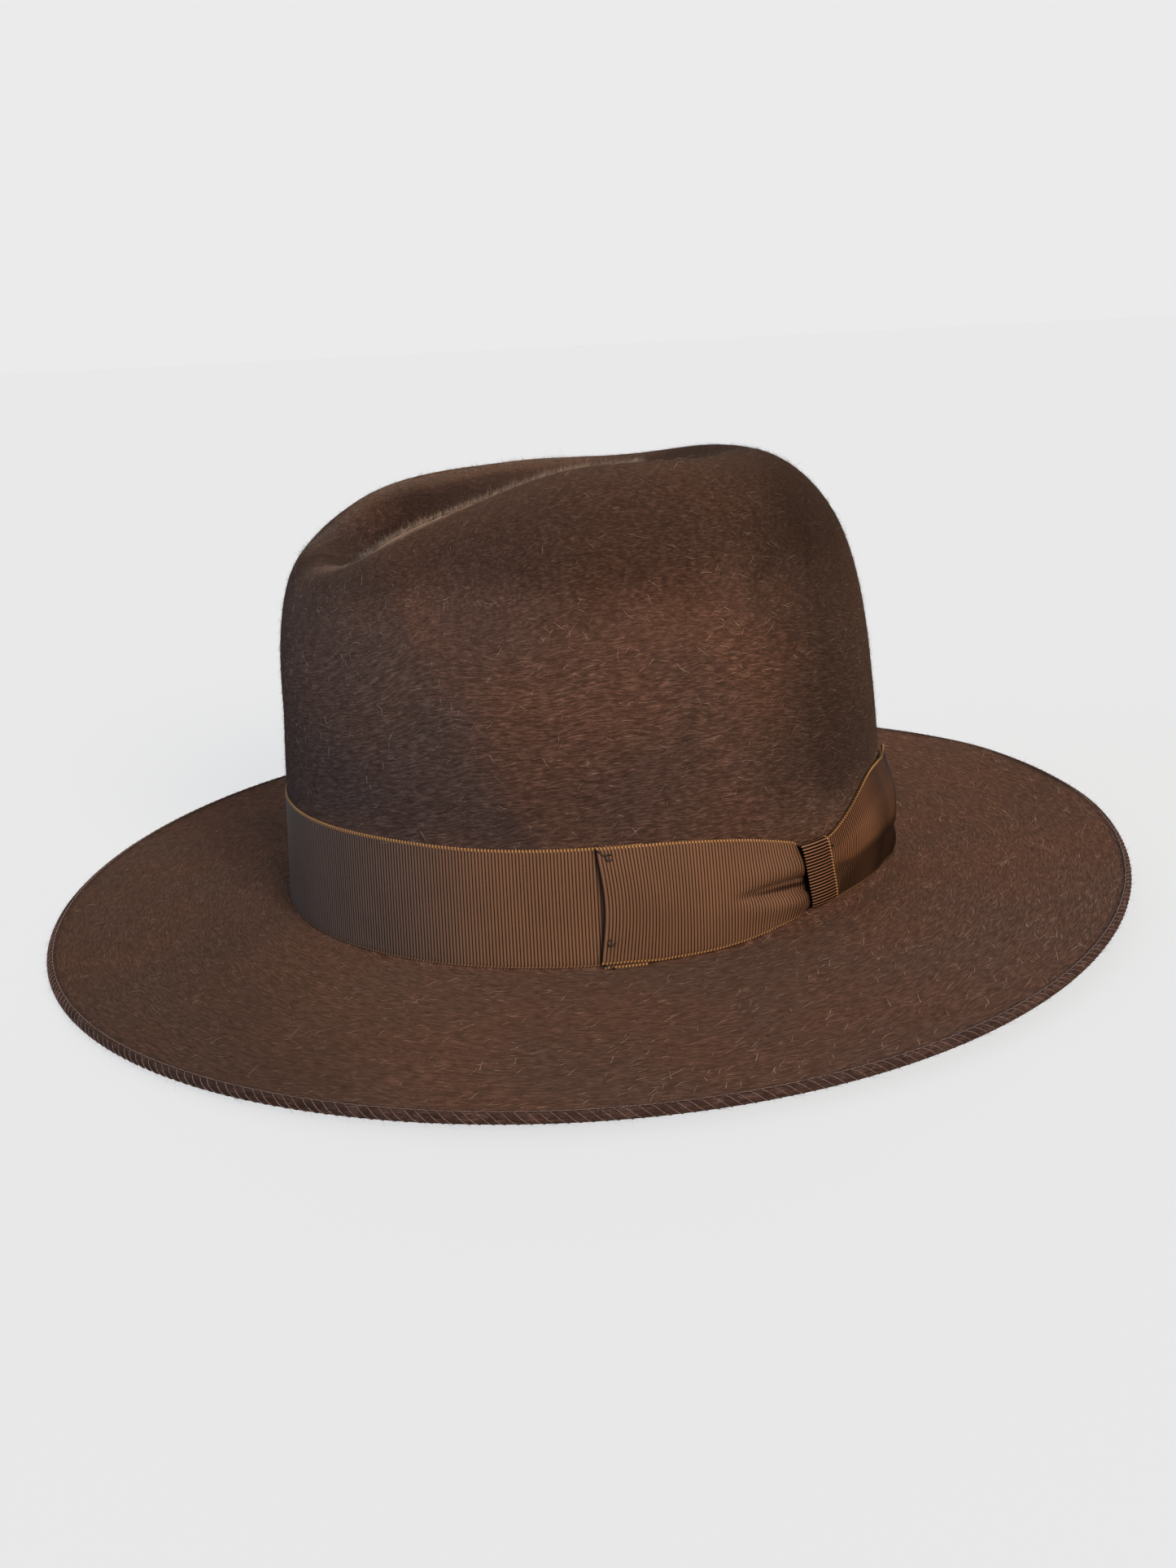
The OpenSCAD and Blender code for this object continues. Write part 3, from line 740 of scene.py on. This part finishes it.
def bare(p):
    """1 where the felt shows, 0 under the band and the bow."""
    x, y = p[..., 0] / FOOT_AX, -p[..., 1] / FOOT_AY
    a, far, height = np.degrees(np.arctan2(x, y)) % 360, np.hypot(x, y), p[..., 2] - FOOT_Z
    bow = (a > BOW_FROM + 5) & (a < BOW_TO - 5)
    high = np.where(bow, bow_high(a) - 0.5, RIBBON_W + 0.4)
    low = np.where(bow, bow_low(a) + 0.8, -1.0)
    return 1.0 - ((height < high) & (height > low) & (far < 1.012) & (far > 0.9))


def crests(p):
    """1 along the two ridges beside the crease, where the nap stands up, and 0 elsewhere."""
    x, y, z = np.moveaxis(p, -1, 0)
    return ((z > 118) & (y < 10) & (np.abs(np.abs(x) + RIDGE_BOW * y**2 - 38.8) < 2.2)) * 1.0


shown = handmade(outside)
FUR_DARK = fur_material("fur_dark", (0.015, 0.0078, 0.0058), (0.044, 0.0226, 0.0158))
FUR_WARM = fur_material("fur_warm", (0.030, 0.0152, 0.0106), (0.082, 0.0420, 0.029))
FUR_PALE = fur_material("fur_pale", (0.12, 0.075, 0.053), (0.46, 0.34, 0.25))
# The ridges' standing hairs are real fuzz, coloured much paler than the nap: a painted highlight along the ridges
FUR_CREST_HIGHLIGHT = fur_material("fur_crest_highlight", (0.08, 0.051, 0.037), (0.27, 0.20, 0.15))
# Name, hairs, where; length and thickness in mm, lift off the felt and spread in degrees, material, curl
for name, count, keep, *form in (
        ("nap_dark", 49000, bare, 2.8, 0.028, 7, 34, FUR_DARK),
        ("nap_warm", 49000, bare, 2.4, 0.022, 8, 40, FUR_WARM),
        ("nap_fuzz", 34000, bare, 1.7, 0.016, 38, 55, FUR_WARM),
        ("crest_fuzz", 5200, crests, 2.3, 0.016, 42, 60, FUR_CREST_HIGHLIGHT),
        ("guard_hairs", 3800, bare, 3.1, 0.034, 12, 38, FUR_PALE, 0.07)):
    fur(name, roots_on(shown, count, keep), *form)
fur("nap_under", roots_on(handmade(inside)[:16], 16000), 1.8, 0.045, 8, 35, FUR_DARK)

# -------------------- the rim's overcast stitch
STITCHES = 376
pitch = 360 / STITCHES
stitch = np.arange(STITCHES)[:, None] * 360 / STITCHES
steps, short = np.linspace(0, 1, 9)[None], np.linspace(0, 1, 5)[None]
wobble = rng.normal(0, 0.06, (STITCHES, 1)) * pitch
slant = rim(stitch + wobble + steps * pitch * 1.6, mix(96, -60, steps), RIM_R + 0.04)
top_run = rim(short * pitch * 1.04 + stitch, 97 + 7 * np.sin(np.pi * short), RIM_R + 0.12)
threads("brim_overcast_stitch", [slant, top_run], 0.12, EDGE_THREAD, ["brim_edge_thread"])

# -------------------- band
def even_angles(first, last, step=RIB / 6):
    """Angles from first to last whose points, halfway up the band, are a step apart."""
    fine = np.linspace(first, last, 4000)
    run = lengths(wall(fine, RIBBON_W / 2, 0.0))
    return np.interp(np.linspace(0, run[-1], max(2, round(run[-1] / step)) + 1), run, fine)


band_angles = even_angles(BOW_TO - 8, BOW_FROM + 7.5 + 360, RIB / 5)
band_rows = ribbon_rows(RIBBON_W - 0.5, 4)
band_mid = wall(band_angles[:, None], RIBBON_W - band_rows[None], 0.12 + RIBBON_T / 2)
band = ribbon("hat_band_ribbon", band_mid, band_rows, RIBBON, ["hat_band"])

# -------------------- bow
base_angles = even_angles(BOW_FROM + 0.4, BOW_TO - 3, RIB / 4)
base_width = ribbon_rows(RIBBON_W, 5)
base_high = np.minimum(RIBBON_W, bow_high(base_angles)) - 1.0
tab = 1 - smooth((base_angles - BOW_FROM - 7.2) / 0.5)
base_low = mix(bow_low(base_angles) + 0.8, -0.3, tab)
share = base_width / RIBBON_W
base_z = mix(base_high[:, None], base_low[:, None], share[None])
base_out = 0.82 - 0.42 * on_felt(base_angles)[:, None] + 0.5 * tab[:, None] * smooth((3 - base_z) / 3)
base = ribbon("bow_base_strip", wall(base_angles[:, None], base_z, base_out), base_width, RIBBON, ["bow_base"],
              thick=0.3, ribs=0.06)


def fold_path(fold, knot):
    """Angles and layer (0 under, 1 over) of a loop that goes out to its fold and comes back over itself."""
    out = even_angles(knot, fold + math.copysign(0.35, knot - fold))
    turn = np.linspace(-90, 90, 9)[1:-1]
    bent = fold + math.copysign(1, knot - fold) * 0.35 * (1 - cos(turn))
    angles = np.concatenate([out, bent, out[::-1]])
    layer = np.concatenate([0 * out, (1 + sin(turn)) / 2, 0 * out + 1])
    return angles, layer


def loop(name, fold, over_of, pull, material):
    """A flat folded loop of the bow, from the knot out to its fold and back; over_of shapes its upper layer."""
    angles, layer = fold_path(fold, KNOT_AT + (0.2 if fold > KNOT_AT else -0.2))
    across = ribbon_rows(RIBBON_W, 30)
    t = across / RIBBON_W
    reach = np.clip((angles - KNOT_AT) / (fold - KNOT_AT), 0, 1)
    off_knot = np.abs(angles - KNOT_AT)
    shrink = 0.25 * (1 - layer)
    z = mix((bow_high(angles) - shrink)[:, None], (bow_low(angles) + shrink)[:, None], t[None])
    a = angles[:, None] + pull * (np.sin(np.pi * t)[None] ** 1.3) * smooth((reach - 0.55) / 0.45)[:, None]
    loose = smooth((off_knot - 3) / 6)
    under = 1.22 + 0.35 * (1 - loose)
    out = mix(under[:, None], over_of(a, z, t[None]), layer[:, None]) - (0.45 * on_felt(angles) * loose)[:, None]
    pinned = (1 - smooth((off_knot - 2.6) / 2.0))[:, None] * layer[:, None]
    out = mix(out, np.minimum(out, 3.0), pinned)
    return ribbon(name, wall(a, z, out), across, material, [name.replace("_folded", "")], thick=LOOP_T)


def front_over(a, z, t):
    """How far out the front loop's upper layer lies: puffed, with one crease that runs into the knot."""
    near = smooth((a - 96) / 18)
    middle = 15.2 - 0.075 * (a - 100)
    crease = smooth((a - 98) / 10) * np.exp(-(np.abs((z - middle) / (0.8 + 1.7 * near)) ** 1.8))
    puff = np.sin(np.pi * np.clip(t, 0, 1)) ** 0.8
    out = LOOP_LAY + 1.1 * puff + near * (1.7 * bump(z, middle + 5.6, 4.2) + 1.3 * bump(z, middle - 5.0, 3.2))
    return np.maximum(out - 3.6 * crease, LOOP_LOWEST)


front = loop("bow_front_loop_folded", BOW_FROM, front_over, 0.9, FRONT_RIBBON)


def rear_over(a, z, t):
    """The same for the rear loop: a lobe that overhangs a flatter lower part."""
    gone = smooth((a - 122) / 20)
    flare = smooth((a - 146) / 9)
    middle = 13.6 + 1.8 * bump(a, 141, 9)
    ledge = smooth((z - middle + 0.5) / 1.1)
    puff = smooth(t / 0.35)
    lobe = LOOP_LAY + puff * (0.9 + 1.9 * gone - 0.9 * smooth((a - 151) / 7)) + 0.6 * bump(z, 22, 6)
    flat = LOOP_LAY + 0.17 * np.clip(z - 4, 0, 10) * (1 - flare) + 2.4 * flare * bump(z, 7, 6)
    crease = (1 - smooth((a - 121) / 9)) * np.exp(-(np.abs((z - middle) / 1.7) ** 1.6))
    near = 1 - smooth((a - 120) / 6)
    out = mix(flat + 0.9 * near * bump(z, 8.5, 3), lobe, ledge) - 2.6 * crease
    return np.maximum(out, LOOP_LOWEST)


rear = loop("bow_rear_loop_folded", BOW_TO, rear_over, -0.9, REAR_RIBBON)

KNOT_LOW, KNOT_HIGH = 6.0, 26.6
knot_mid, knot_tall = (KNOT_LOW + KNOT_HIGH) / 2, (KNOT_HIGH - KNOT_LOW) / 2 - 0.2


def knot_section(turn):
    """Height and out round the knot, a rounded rectangle."""
    z = knot_mid + knot_tall * np.sign(cos(turn)) * np.abs(cos(turn)) ** 0.38
    return z, KNOT_OUT + 1.75 * np.sign(sin(turn)) * np.abs(sin(turn)) ** 0.6


knot_fine = np.stack(knot_section(np.linspace(0, 360, 3001)), -1)
knot_run = lengths(knot_fine)
knot_count = round(knot_run[-1] / RIB) * 6
knot_steps = np.arange(knot_count)[::-1] / knot_count * knot_run[-1]
knot_z, knot_out = (np.interp(knot_steps, knot_run, knot_fine[:, i])[:, None] for i in range(2))
knot_rows = ribbon_rows(KNOT_W, 7, False, True)
knot_over = (knot_rows[None] / KNOT_W - 0.5) * 6.5
knot_pillow = 0.35 * (1 - (knot_over / 3.3) ** 2) * (knot_out > KNOT_OUT)
knot_grid = wall(KNOT_AT + knot_over - 0.95 * (knot_z - knot_mid) / knot_tall, knot_z, knot_out + knot_pillow)
knot = ribbon("bow_knot_wrap", knot_grid, knot_rows, KNOT_RIBBON, ["bow_knot"], True, (False, True), LOOP_T,
              0.38)


def tack(a, z, out, size, turn):
    """A small loop of thread, seen from outside the hat."""
    t = np.radians(turn + np.linspace(0, 290, 12))
    return wall(a + size * np.cos(t) * 0.62, z + size * np.sin(t), out + 0.12 * np.sin(t * 2))


tacks = np.stack([tack(*where) for where in (
    (BOW_FROM + 2.0, 33.0, 2.45, 0.95, 40), (BOW_FROM + 1.7, 8.0, 2.75, 0.95, 80),
    (BOW_FROM + 1.7, -0.2, 2.0, 0.6, 10), (KNOT_AT + 3.6, 22.6, 3.6, 0.6, 200), (KNOT_AT + 4.4, 13.6, 2.5, 0.55, 60))])
joined = np.stack([wall(np.linspace(BOW_FROM + 0.1, BOW_FROM + 1.2, 12), np.linspace(z0, z1, 12), 2.2)
                   for z0, z1 in ((35.4, 33.4), (0.5, 1.4))])
threads("bow_tack_threads", [tacks, joined], 0.22, DARK_THREAD, ["bow_tacks"])

# -------------------- inside
INNER = 360
inner_turns = 180 - np.arange(INNER) * 360 / INNER


def section(rows):
    return np.stack([wall(inner_turns, z, out) for z, out in rows])


def rounded_rows(low, high, outer_of, thick, count=22):
    """Heights and outs of a band with round edges: up its felt side and down its inner side."""
    z = low + (high - low) * (1 - np.cos(np.linspace(0, np.pi, count))) / 2
    into_edge = (np.abs(z - (low + high) / 2) - (high - low) / 2 + 0.5) / 0.5
    half = np.minimum(1, np.sqrt(np.maximum(0, 1 - into_edge.clip(0) ** 2))) * thick / 2
    mid = outer_of(z) - thick / 2
    return list(zip(z, mid + half))[::-1] + list(zip(z, mid - half))[1:-1]


def coil(z, out, radius, angles):
    """Heights and outs of a round section; angles go down and inwards from straight out."""
    t = np.radians(angles)
    return list(zip(z - radius * np.sin(t), out + radius * np.cos(t)))


def behind_leather(z):
    """How far out the leather's back lies at height z: above the felt's edge it makes room for the lining."""
    return BACK_OF_FELT - LINING_ROOM * smooth((z - 16) / 10)


sweat_rows = rounded_rows(2.9, SWEAT_H, behind_leather, LEATHER_T)
sweat = hoop("leather_sweatband", section(sweat_rows), LEATHER, ["sweatband"], period=585.0)

REED_Z, REED_OUT = 1.7, BACK_OF_FELT - 0.95
reed = section(coil(REED_Z, REED_OUT, 0.8, np.arange(0, 360, 30)))
hoop("reed_core", reed, plastic_material(), ["sweatband_reed"], period=570.0)
open_to = 180 - np.linspace(140, -140, 15)
tape = section(coil(REED_Z, REED_OUT, 0.88, -open_to) + coil(REED_Z, REED_OUT, 1.12, -open_to[::-1]))
hoop("reed_tape_fold", tape, tape_material(), ["reed_tape"], period=570.0)

SEAM_STITCHES, HALF_STITCH = 150, 0.62
at = np.arange(SEAM_STITCHES)[:, None] * 360 / SEAM_STITCHES
dash = np.linspace(-HALF_STITCH, HALF_STITCH, 7)[None]
sewn = wall(at + dash, 5.0, LEATHER_FACE + 0.02 - 0.14 * np.cos(dash / HALF_STITCH * math.pi / 2))
threads("sweatband_seam_stitches", [sewn], 0.16, DARK_THREAD, ["sweatband_stitches"])

zig = np.arange(22)[:, None]
t = np.linspace(0, 1, 5)[None]
zig_z = 6.5 + (zig + t) * 1.8
zigzag = wall(180 + 0.75 * (-1.0) ** (zig + 1) * (1 - 2 * t), zig_z, behind_leather(zig_z) - LEATHER_T - 0.12)
threads("sweatband_back_zigzag", [zigzag], 0.15, DARK_THREAD, ["sweatband_back_seam"])


def small_bow():
    """The ribbon bow over the sweatband's back seam: two loops of one strip and a knot."""
    out, high, half_w = LEATHER_FACE - LINING_ROOM - 0.55, SWEAT_H - 6, SMALL_W / 2
    points, faces, uvs = [], [], []

    def add(block, closed, step, width):
        rows, columns = block.shape[:2]
        f, corners = grid_faces(rows, columns, sum(len(p) for p in points), True, closed)
        uvs.append(np.stack([corners[..., 0] * step, half_w * (1 + width[corners[..., 1]])], -1).reshape(-1, 2))
        points.append(block.reshape(-1, 3))
        faces.extend(f.tolist())

    s, across = np.linspace(0, 1, 60), np.linspace(-1, 1, 9)
    for side in (-1, 1):
        reach = 9.2 * np.sin(np.pi * s) ** 0.9
        half = 2.0 + 1.1 * np.sin(np.pi * s) ** 0.7
        z = high + half[:, None] * across - 0.035 * reach[:, None] ** 1.6
        lift = 0.625 * np.sin(2 * np.pi * s)[:, None] - 0.15 * (1 - across**2)
        mid = wall(180 + np.degrees(side * reach / 96)[:, None], z, out - 0.35 + lift)
        add(slab(mid, normals_of(mid), 0.13, 0.13), False, 0.33, np.concatenate([across, across[::-1], across[:1]]))
    b = np.linspace(0, 2 * np.pi, 24, endpoint=False)[:, None]
    mid = wall(180 + np.degrees(np.linspace(-1.6, 1.6, 7) / 96), high + 2.3 * np.sin(b), out - 0.5 + np.cos(b))
    add(slab(mid, normals_round(mid), 0.12, 0.12), True, 0.6, np.zeros(15))
    return piece("sweatband_ribbon_bow", np.vstack(points), faces, np.vstack(uvs), SMALL_RIBBON,
                 ["sweatband_bow"])


small_bow()

# The lining: a gathered satin wall, a domed oval top and the cord in the seam between them
PLEATS = 46
lining_z = np.concatenate([np.linspace(18, 50, 9), np.linspace(54, SEAM_Z, 16)])[:, None]
pleat = (sin(inner_turns * PLEATS) + 0.5 * sin(inner_turns * 31 + 40)) / 1.5
lining_out = mix(BACK_OF_FELT - 0.15, LINING_IN - 0.75, smooth((lining_z - 44) / 12))
gather = 0.6 * smooth((lining_z - 46) / 20) * pleat
lining_faces = [wall(inner_turns, lining_z, lining_out + 0.14 + gather)[::-1],
                wall(inner_turns, lining_z, lining_out + gather)]
lining = hoop("lining_wall_satin", np.concatenate(lining_faces), SATIN, ["lining_side"], period=590.0)

tip_share = np.array([0.04, 0.12, 0.22, 0.34, 0.46, 0.58, 0.7, 0.8, 0.88, 0.94, 0.985])
edge = wall(inner_turns, LINING_H, LINING_IN - 0.2)


def tip_ring(s, down):
    """One ring of the lining's top, puckered towards its seam."""
    pucker = 0.28 * s**6 * sin(inner_turns * PLEATS)
    z = FOOT_Z + LINING_H + 3 * (1 - s * s) - down + pucker - 0.25
    return np.stack([edge[:, 0] * s, edge[:, 1] * s, z + 0 * inner_turns], -1)


tip_rings = np.stack([tip_ring(s, 0.0) for s in tip_share] + [tip_ring(s, TIP_T) for s in tip_share[::-1]])
top_z = FOOT_Z + LINING_H + 2.75
tip = hoop("lining_top_satin", tip_rings, SATIN, ["lining_tip"], False,
           np.array([[0, 0, top_z], [0, 0, top_z - TIP_T]]), period=500.0)

cord_twist = 0.06 * sin(inner_turns * 150)
piping = np.stack([wall(inner_turns, SEAM_Z - 0.6 * sin(b) + cord_twist, LINING_IN - 1.1 + (0.55 + cord_twist) * cos(b))
                   for b in np.arange(0, 360, 40)])
hoop("lining_seam_cord", piping, SATIN, ["lining_piping"], period=560.0)

# -------------------- floor, light and camera
low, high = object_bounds()
floor_z = low[2] - 0.0002
FLOOR_HALF, FLOOR_TONE, FLOOR_GLOW = 30.0, (0.0598, 0.0602, 0.0609), 0.652 / 0.06
floor_paint = Nodes("studio_floor_paint", 0.95, Specular_IOR_Level=0.0)
paler = tuple(1.004 * c for c in FLOOR_TONE)
floor_tone = floor_paint.ramp(floor_paint.noise(floor_paint.place(), 3.0), (0.4, FLOOR_TONE), (0.6, paler))
glow = tuple(FLOOR_GLOW * c for c in FLOOR_TONE) + (1,)
floor_mesh = bpy.data.meshes.new("studio_floor")
floor_mesh.from_pydata([(x * FLOOR_HALF, y * FLOOR_HALF, floor_z) for x, y in ((-1, -1), (1, -1), (1, 1), (-1, 1))],
                       [], [(0, 1, 2, 3)])
floor_mesh.materials.append(floor_paint.done(floor_tone, Emission_Color=glow, Emission_Strength=1.0))
floor = placed("studio_floor", floor_mesh)
floor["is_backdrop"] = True

world = bpy.data.worlds.new("studio")
world.use_nodes = True
sky = world.node_tree.nodes["Background"].inputs
sky["Color"].default_value, sky["Strength"].default_value = (0.83, 0.83, 0.835, 1), 1.0
bpy.context.scene.world = world


def towards(azimuth, elevation):
    """The direction from the hat; azimuth 0 is in front of it."""
    a, e = math.radians(azimuth), math.radians(elevation)
    return Vector((math.sin(a) * math.cos(e), -math.cos(a) * math.cos(e), math.sin(e)))


def sun(name, azimuth, elevation, spread, strength, colour):
    """A wide, soft studio light far away, so that the floor is lit evenly."""
    light = bpy.data.lights.new(name, "SUN")
    light.angle, light.energy, light.color = math.radians(spread), strength, colour
    placed(name, light).rotation_euler = towards(azimuth, elevation).to_track_quat("Z", "Y").to_euler()


sun("key_warm", 106, 32, 25, 7.2, (1.0, 0.87, 0.70))
sun("fill_cool", 5, 15, 50, 3.0, (0.28, 0.60, 1.0))
sun("top_soft", 60, 80, 60, 0.9, (1.0, 0.97, 0.94))
sun("rear_soft", -110, 30, 60, 2.2, (1.0, 0.98, 0.96))

CAMERA_AZIMUTH, CAMERA_ELEVATION, CAMERA_DISTANCE, CAMERA_ROLL = 74.0, 16.0, 0.4728, math.radians(-2.8)
LOOK_AT_Z = 0.045 + FOOT_Z * MM
FOCAL_SHARE = 1700 / 1445  # focal length over the picture's width
camera_data = bpy.data.cameras.new("camera")
camera_data.sensor_fit, camera_data.sensor_width = "HORIZONTAL", 36.0
camera_data.lens = 36.0 * FOCAL_SHARE
camera_data.shift_x, camera_data.shift_y = 0.0015, -0.0428
camera_data.clip_start, camera_data.clip_end = 0.01, 100
camera = placed("camera", camera_data)
back = towards(CAMERA_AZIMUTH, CAMERA_ELEVATION)
level = (-back).cross(Vector((0, 0, 1))).normalized()
upright = level.cross(-back)
right = level * math.cos(CAMERA_ROLL) + upright * math.sin(CAMERA_ROLL)
up = upright * math.cos(CAMERA_ROLL) - level * math.sin(CAMERA_ROLL)
where = Vector((0, 0, LOOK_AT_Z)) + back * CAMERA_DISTANCE
camera.matrix_world = Matrix.Translation(where) @ Matrix((right, up, back)).transposed().to_4x4()
bpy.context.scene.camera = camera
bpy.context.scene.view_settings.view_transform = "Standard"

low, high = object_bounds()
